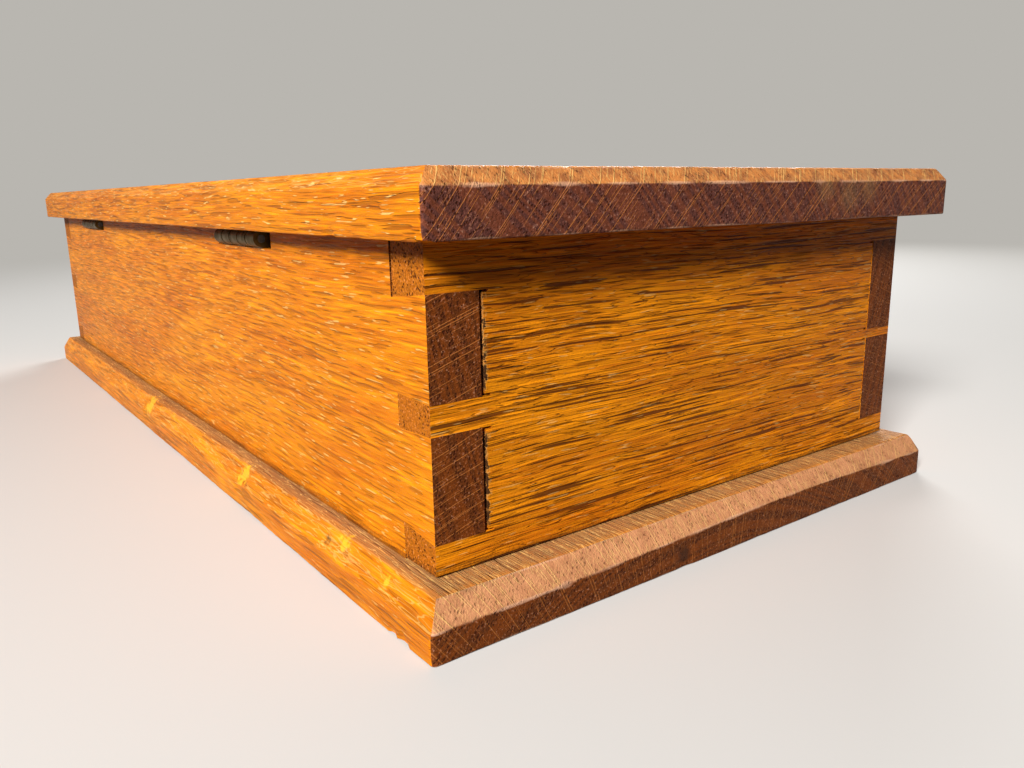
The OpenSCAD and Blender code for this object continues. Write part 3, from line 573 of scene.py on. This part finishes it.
def worn_board(
        node, body, bevel_width, bevel_drop, radii, inner_top, seed, dust=0.0, marks=(), pockets=(),
        planed=None):
    """Stand a bevelled board with uneven, rubbed and chipped arrises in for a plain one.

    Radii are the corners' radii, inner_top holds the insets of the top's inner lines, dust is how
    dusty the top is, marks are (kind, centre, radius, depth, strength), pockets are the round
    pockets under the board as (x, y, radius), and planed changes the bevel from place to place.
    The arrises' rubbed values stand for wear and for a painted highlight.
    """
    low, high = (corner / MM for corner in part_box(node))
    halves = (high.x, high.y, high.x, high.y)
    thick = high.z - low.z
    arris = sizes().board_arris / MM
    bm = bmesh.new()
    layer = {name: bm.verts.layers.float.new(name) for name in ("rubbed_and_lit", "dusty", "bare", "spot")}
    rings = []
    for place in rim_places(halves, radii):
        at = on_rim(place, 0, halves, radii)
        wear = []
        for edge in range(3):
            slow = noise.noise(Vector((at.x / 16, at.y / 16, seed + 5 * edge)))
            quick = noise.noise(Vector((at.x / 1.9, at.y / 1.9, seed + 5 * edge + 2)))
            bite = max(0.0, noise.noise(Vector((at.x / 3.3, at.y / 3.3, seed + 5 * edge + 3))) - 0.4)
            bite *= 0.4 if edge == 2 else 1.0
            wear.append(min(1.1, arris * max(0.35, 0.9 + 0.7 * slow + 0.35 * quick) + 1.6 * bite))
        width, drop = planed(at, bevel_width, bevel_drop) if planed else (bevel_width, bevel_drop)
        # How strongly the arris at this place is painted pale, by rubbing and as a painted highlight
        shine = 0.6 + 0.7 * noise.noise(Vector((at.x / 5, at.y / 5, seed + 31)))
        ring = []
        for inset, height, rubbed_and_lit in rim_profile(thick, width, drop, wear, inner_top, (2.0, 4.0)):
            flat = on_rim(place, inset, halves, radii)
            vert = bm.verts.new((flat.x, flat.y, height + low.z))
            vert[layer["rubbed_and_lit"]] = rubbed_and_lit * shine
            if dust and height > thick - 0.2:
                vert[layer["dusty"]] = dust * min(1.0, max(0.6, (inset - width + 0.6) / 1.4))
            ring.append(vert)
        rings.append(ring)
    for ring, after in zip(rings, rings[1:] + rings[:1]):
        for j in range(len(ring) - 1):
            bm.faces.new((ring[j], ring[j + 1], after[j + 1], after[j]))
    bmesh.ops.remove_doubles(bm, verts=bm.verts, dist=0.0005)
    bmesh.ops.dissolve_degenerate(bm, edges=bm.edges, dist=0.0005)

    rim = [edge for edge in bm.edges if len(edge.link_faces) == 1]
    top = [edge for edge in rim if edge.verts[0].co.z > (low.z + high.z) / 2]
    under = [edge for edge in rim if edge not in set(top)]
    bmesh.ops.triangle_fill(bm, use_beauty=True, edges=top)
    holes = []
    for x, y, radius in pockets:
        circle = []
        for i in range(24):
            turn = i * math.tau / 24
            circle.append(bm.verts.new((x + radius * math.cos(turn), y + radius * math.sin(turn), low.z)))
        under += [bm.edges.new((circle[i - 1], circle[i])) for i in range(24)]
        holes.append(circle)
    bmesh.ops.triangle_fill(bm, use_beauty=True, edges=under)
    for circle in holes:
        inner = [bm.verts.new(vert.co + Vector((0, 0, 0.6))) for vert in circle]
        for i in range(24):
            bm.faces.new((circle[i - 1], circle[i], inner[i], inner[i - 1]))
        bm.faces.new(inner)
    bmesh.ops.recalc_face_normals(bm, faces=bm.faces)
    bm.normal_update()

    pushes = []
    for kind, centre, radius, depth, strength in marks:
        for vert in bm.verts:
            near = 1 - (vert.co - Vector(centre)).length / radius
            if near > 0:
                if kind in layer:
                    vert[layer[kind]] = max(vert[layer[kind]], near * strength)
                pushes.append((vert, vert.normal * -depth * min(1, 2 * near)))
    for vert, push in pushes:
        vert.co += push
    for vert in bm.verts:
        vert.co *= MM
    mesh = bpy.data.meshes.new(node + "_worn")
    bm.to_mesh(mesh)
    bm.free()
    mesh.shade_smooth()
    mesh.set_sharp_from_angle(angle=math.radians(42))
    piece = bpy.data.objects.new(node + "_worn", mesh)
    bpy.context.scene.collection.objects.link(piece)
    mesh.materials.append(oak(node, **BOARDS[node]))
    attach(piece, body)
    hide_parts(node)
    return piece


class STATIONERY_OT_camera(bpy.types.Operator):
    """Place the camera at the photograph's close, low view of the back left corner"""
    bl_idname = "stationery.camera"
    bl_label = "Camera"

    def execute(self, context):
        place = Vector((-255.2, 125.3, 68.6)) * MM
        aim = Vector((-59.2, -19.35, 12.4)) * MM
        roll = math.radians(-1.03)
        data = bpy.data.cameras.new("camera")
        data.sensor_fit = "HORIZONTAL"
        data.sensor_width = 36
        data.lens = 28.92
        data.clip_start = 0.01
        data.dof.use_dof = False
        camera = bpy.data.objects.new("camera", data)
        turn = (aim - place).to_track_quat("-Z", "Y").to_matrix().to_4x4()
        camera.matrix_world = Matrix.Translation(place) @ turn @ Matrix.Rotation(roll, 4, "Z")
        context.scene.collection.objects.link(camera)
        context.scene.camera = camera
        return {"FINISHED"}


class STATIONERY_OT_stage(bpy.types.Operator):
    """Lay a pale studio floor and light the box softly from behind and from the left"""
    bl_idname = "stationery.stage"
    bl_label = "Stage and light"

    def execute(self, context):
        c = colours()
        mesh = bpy.data.meshes.new("studio_floor")
        half = 4.0
        drop = -0.05 * MM
        corners = [(-half, -half, drop), (half, -half, drop), (half, half, drop), (-half, half, drop)]
        mesh.from_pydata(corners, [], [(0, 1, 2, 3)])
        floor = bpy.data.objects.new("studio_floor", mesh)
        context.scene.collection.objects.link(floor)
        # Matt paint, pale to the camera and in reflections. It throws little light back, so the
        # box's shaded sides stay dark
        material = bpy.data.materials.new("matt_painted_floor")
        material.use_nodes = True
        tree = material.node_tree
        shader = tree.nodes["Principled BSDF"]
        seen = self.seen(tree)
        colour = add(tree, "Mix", {0: seen, 6: rgba(c.bounce), 7: rgba(c.floor)}, out=2, data_type="RGBA")
        tree.links.new(colour, shader.inputs["Base Color"])
        shader.inputs["Roughness"].default_value = 0.9
        # Away from the box the floor sweeps up into the backdrop
        place = tree.nodes.new("ShaderNodeTexCoord")
        away = add(tree, "VectorMath", (place.outputs["Object"],), out="Value", operation="LENGTH")
        away = add(tree, "MapRange", (away, 0.35, 1.0), interpolation_type="SMOOTHSTEP")
        away = add(tree, "Math", (away, seen), operation="MULTIPLY")
        sweep = add(tree, "Emission", {"Color": rgba(c.backdrop), "Strength": 1.0})
        surface = add(tree, "MixShader", (away, shader.outputs[0], sweep))
        tree.links.new(surface, tree.nodes["Material Output"].inputs["Surface"])
        mesh.materials.append(material)

        lamps = (
            ("key_softbox", Vector((-0.494, 0.716, 0.494)) * 1.25, 0.3, 25.0),
            ("fill_softbox", Vector((0.8, -1.0, 0.38)), 0.7, 20.0),
        )
        for name, place, side, power in lamps:
            data = bpy.data.lights.new(name, "AREA")
            data.shape = "SQUARE"
            data.size = side
            data.energy = power
            lamp = bpy.data.objects.new(name, data)
            aimed = (-place).to_track_quat("-Z", "Y").to_matrix().to_4x4()
            lamp.matrix_world = Matrix.Translation(place) @ aimed
            context.scene.collection.objects.link(lamp)

        world = bpy.data.worlds.new("studio")
        context.scene.world = world
        world.use_nodes = True
        tree = world.node_tree
        background = tree.nodes["Background"]
        dim = (0.04, 0.04, 0.042, 1)
        seen = self.seen(tree)
        glow = add(tree, "Mix", {0: seen, 6: dim, 7: rgba(c.backdrop)}, out=2, data_type="RGBA")
        tree.links.new(glow, background.inputs["Color"])
        background.inputs["Strength"].default_value = 1.0
        context.scene.view_settings.view_transform = "Standard"
        return {"FINISHED"}

    @staticmethod
    def seen(tree):
        """1 on rays from the camera and in reflections or glass, 0 on rays that carry light about."""
        ray = tree.nodes.new("ShaderNodeLightPath").outputs
        shown = add(tree, "Math", (ray["Is Camera Ray"], ray["Is Glossy Ray"]), operation="MAXIMUM")
        return add(tree, "Math", (shown, ray["Is Transmission Ray"]), operation="MAXIMUM")


class STATIONERY_OT_walls(bpy.types.Operator):
    """Finish the four dovetailed walls as stained oak with worn arrises"""
    bl_idname = "stationery.walls"
    bl_label = "Dovetailed walls"

    def execute(self, context):
        for node, look in BOARDS.items():
            if "wall" in node:
                finish_node(node, oak(node, **look), sizes().wall_arris)
        return {"FINISHED"}


class STATIONERY_OT_lid(bpy.types.Operator):
    """Make the lid board with rubbed arrises, which carry a painted highlight"""
    bl_idname = "stationery.lid"
    bl_label = "Lid"

    def execute(self, context):
        marks = (
            ("dusty", (-160.2, -21.5, 69.3), 4.0, 0.05, 0.5),
            ("dusty", (-160.2, -29.5, 67.4), 4.5, 0.05, 0.45),
            ("dusty", (-160.2, -36.5, 68.8), 4.0, 0.05, 0.5),
            ("chip", (-159.6, 69.0, 62.6), 1.6, 0.35, 1.0),
            ("chip", (-131.0, 69.4, 62.6), 2.2, 0.3, 1.0),
        )
        worn_board(
            "lid_board", "lid", bevel_width=2.4, bevel_drop=2.6, radii=CORNER_RADII,
            inner_top=(16, 10, 7, 5.5, 4.4), seed=12.5, marks=marks)
        return {"FINISHED"}


class STATIONERY_OT_base(bpy.types.Operator):
    """Make the base board with rubbed and chipped arrises and a dusty ledge; the rubbed arrises carry a
    painted highlight
    """
    bl_idname = "stationery.base"
    bl_label = "Base"

    def execute(self, context):
        marks = (
            ("bare", (-75.0, 69.0, 7.2), 4.4, 0.35, 1.0),
            ("bare", (-126.4, 68.5, 8.3), 3.2, 0.3, 1.0),
            ("bare", (9.0, 69.0, 7.5), 6.0, 0.3, 1.0),
            ("bare", (-143.0, 68.8, 7.4), 2.6, 0.15, 0.8),
            ("spot", (-159.5, 15.2, 2.4), 3.4, 0.25, 1.0),
            ("spot", (-121.0, 69.0, 7.0), 3.0, 0.1, 0.8),
            ("spot", (-130.5, 69.6, 5.6), 3.5, 0.05, 0.55),
            ("chip", (-150.7, 70.2, 0.0), 1.6, 0.5, 1.0),
            ("chip", (-147.2, 70.2, 0.3), 1.3, 0.4, 1.0),
            ("chip", (-159.5, 69.4, 3.0), 1.2, 0.3, 1.0),
        )

        def planed(at, width, drop):
            # The bevel across the left end was planed narrower past its middle
            if at.x < -100:
                swell = math.exp(-((at.y + 18) / 42) ** 2)
                return width + 0.3 * swell, drop - 1.4 * swell
            return width, drop

        pockets = []
        for row in ("front_base_screws", "back_base_screws", "end_base_screws"):
            low, high = (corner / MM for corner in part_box(row))
            first, last = low.x + SCREW_HEAD, high.x - SCREW_HEAD
            if row == "end_base_screws":
                spots = ((first, 0.0), (last, 0.0))
            else:
                spots = tuple((x, (low.y + high.y) / 2) for x in (first, 0.0, last))
            pockets += [(x, y, SCREW_HEAD + HEAD_CLEARANCE) for x, y in spots]
        worn_board(
            "base_board", "case", bevel_width=2.6, bevel_drop=4.2, radii=CORNER_RADII,
            inner_top=(16, 11, 8.4, 7.2, 6.2, 5.4, 4.6), seed=4.5, dust=0.85, marks=marks,
            pockets=pockets, planed=planed)
        return {"FINISHED"}


class STATIONERY_OT_hinges(bpy.types.Operator):
    """Finish the butt hinges, their pins and their screws"""
    bl_idname = "stationery.hinges"
    bl_label = "Hinges and screws"

    def execute(self, context):
        # Brass darkened partly as painted shade of the hinges' recesses
        brass_and_recess_shade = metal("rolled_tarnished_brass", colours().brass_and_recess_shade, 0.42)
        steel = metal("drawn_dull_steel", colours().steel, 0.4)
        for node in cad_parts:
            if node in BOARDS:
                continue
            is_brass = "leaf" in node or ("hinge" in node and "screws" in node)
            finish_node(node, brass_and_recess_shade if is_brass else steel)
        return {"FINISHED"}


class STATIONERY_PT_panel(bpy.types.Panel):
    """Lists the pieces of the stationery box"""
    bl_idname = "STATIONERY_PT_panel"
    bl_label = "Stationery box"
    bl_space_type = "VIEW_3D"
    bl_region_type = "UI"
    bl_category = "Stationery Box"

    def draw(self, context):
        for group in (context.scene.box_sizes, context.scene.box_colours):
            for name in group.bl_rna.properties.keys():
                if name not in ("rna_type", "name"):
                    self.layout.prop(group, name)
        for operator in OPERATORS:
            self.layout.operator(operator.bl_idname)


OPERATORS = (
    STATIONERY_OT_camera, STATIONERY_OT_stage, STATIONERY_OT_walls, STATIONERY_OT_lid, STATIONERY_OT_base,
    STATIONERY_OT_hinges,
)
CLASSES = (BoxSizes, BoxColours, *OPERATORS, STATIONERY_PT_panel)


def register():
    for cls in CLASSES:
        bpy.utils.register_class(cls)
    bpy.types.Scene.box_sizes = PointerProperty(type=BoxSizes)
    bpy.types.Scene.box_colours = PointerProperty(type=BoxColours)


def unregister():
    del bpy.types.Scene.box_colours
    del bpy.types.Scene.box_sizes
    for cls in reversed(CLASSES):
        bpy.utils.unregister_class(cls)


def main():
    register()
    bpy.ops.stationery.camera()
    bpy.ops.stationery.stage()
    bpy.ops.stationery.walls()
    bpy.ops.stationery.lid()
    bpy.ops.stationery.base()
    bpy.ops.stationery.hinges()


if __name__ == "__main__":
    main()
